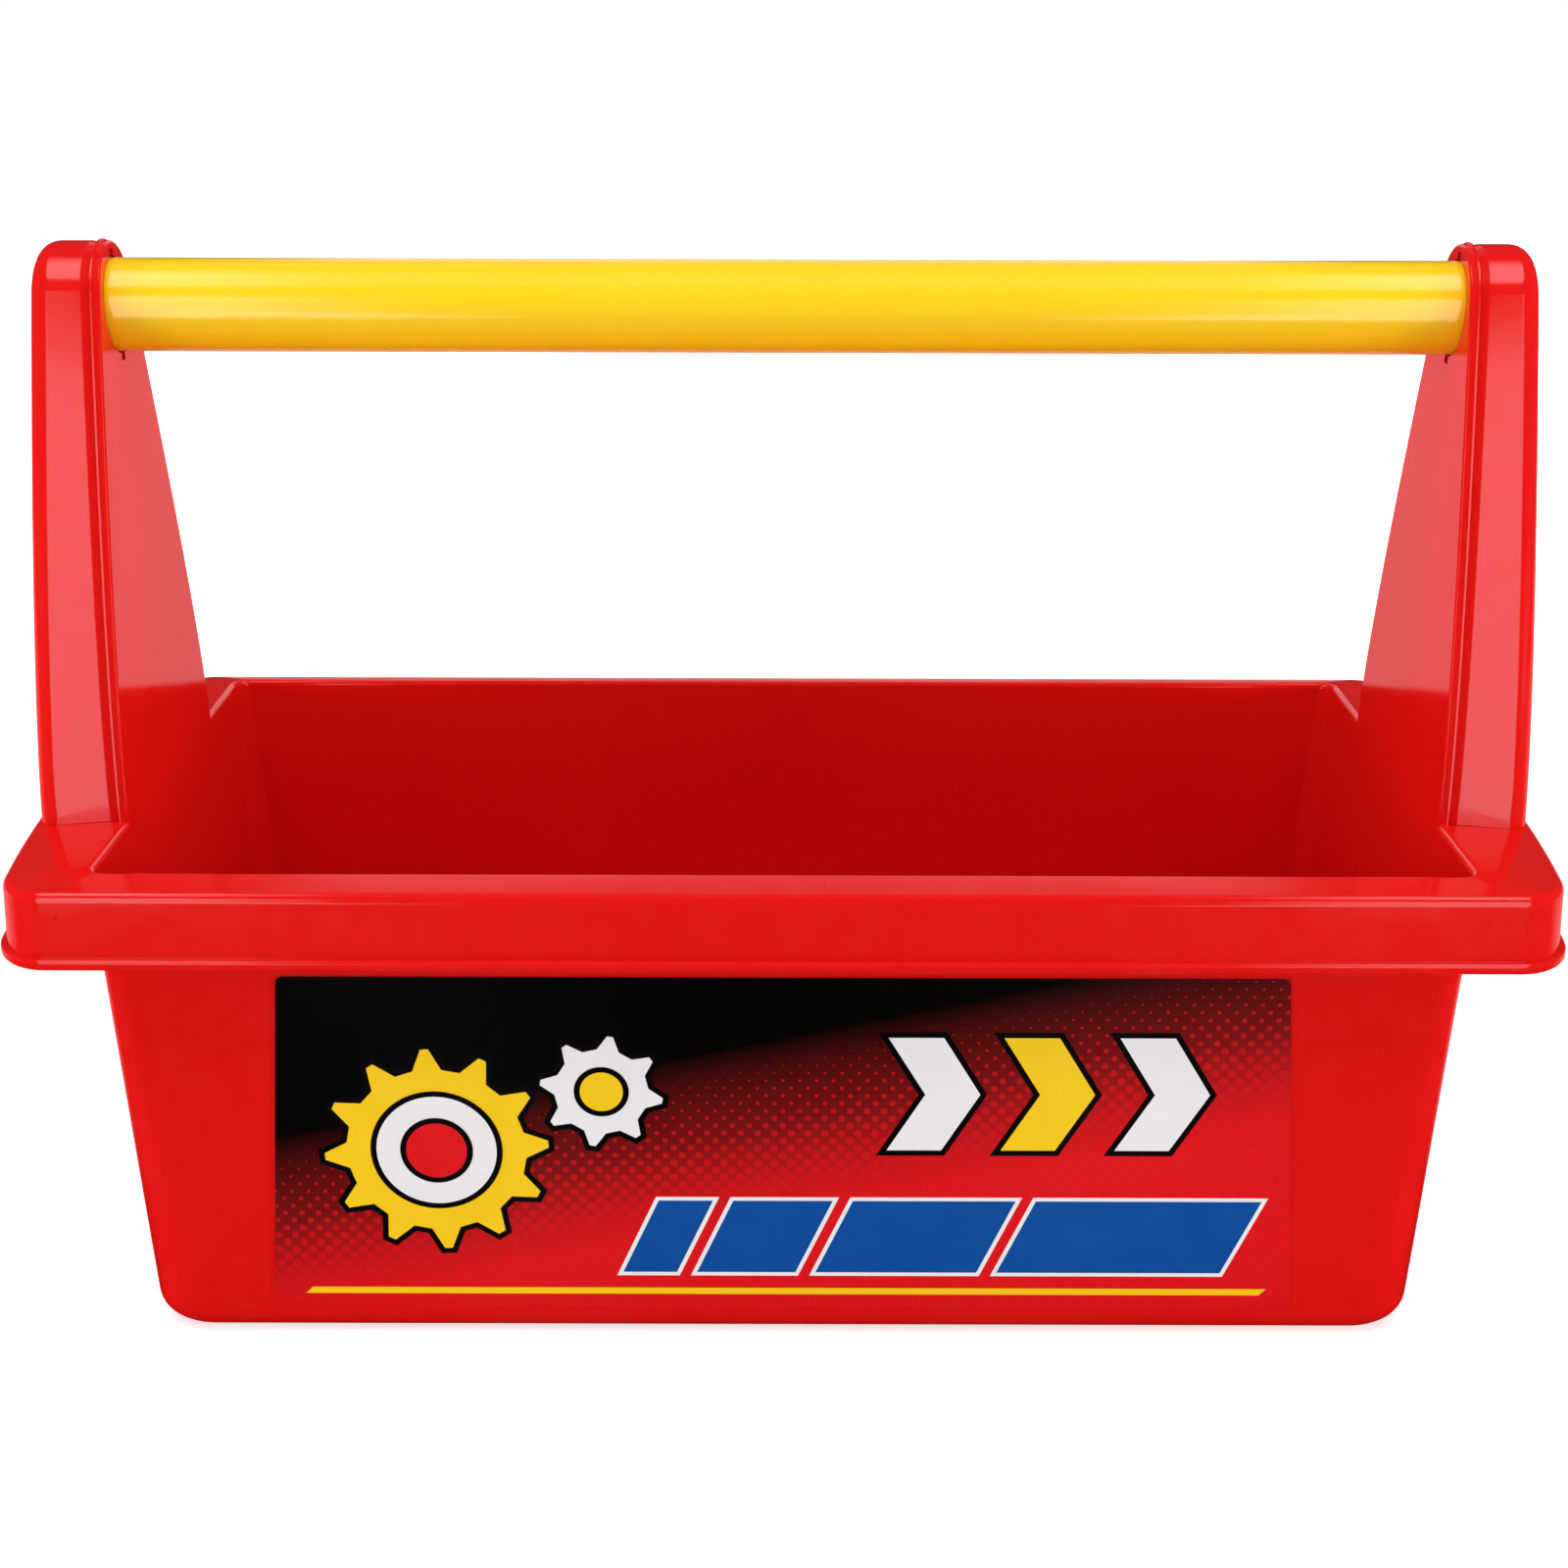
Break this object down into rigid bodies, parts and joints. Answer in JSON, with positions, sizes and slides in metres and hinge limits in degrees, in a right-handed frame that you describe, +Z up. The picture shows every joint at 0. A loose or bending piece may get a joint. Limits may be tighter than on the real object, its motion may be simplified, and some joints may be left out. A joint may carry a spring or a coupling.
{
  "type": "toy tool box",
  "caption": "Open toy tool box: a tapered tub with a skirted rim, two end uprights and a round handle tube that turns between them.",
  "frame": {"origin": "middle of the base, on the surface that the box stands on", "axes": "+Z up, +X along the long side and the handle, -Y towards the labelled front"},
  "size_m": [0.3432, 0.1762, 0.2354],
  "materials": {
    "red_plastic": "glossy moulded polypropylene, bright red",
    "yellow_plastic": "satin extruded polypropylene, warm yellow",
    "printed_label": null
  },
  "bodies": {
    "box": {"tub": "red_plastic", "left_end_cover": "red_plastic", "right_end_cover": "red_plastic", "front_label": "printed_label"},
    "handle": {"handle_bar": "yellow_plastic"}
  },
  "joints": [
    {"name": "handle_turn", "type": "hinge", "parent": "box", "child": "handle", "pos_m": [0, 0, 0.2208], "axis": [1, 0, 0], "continuous": true}
  ]
}
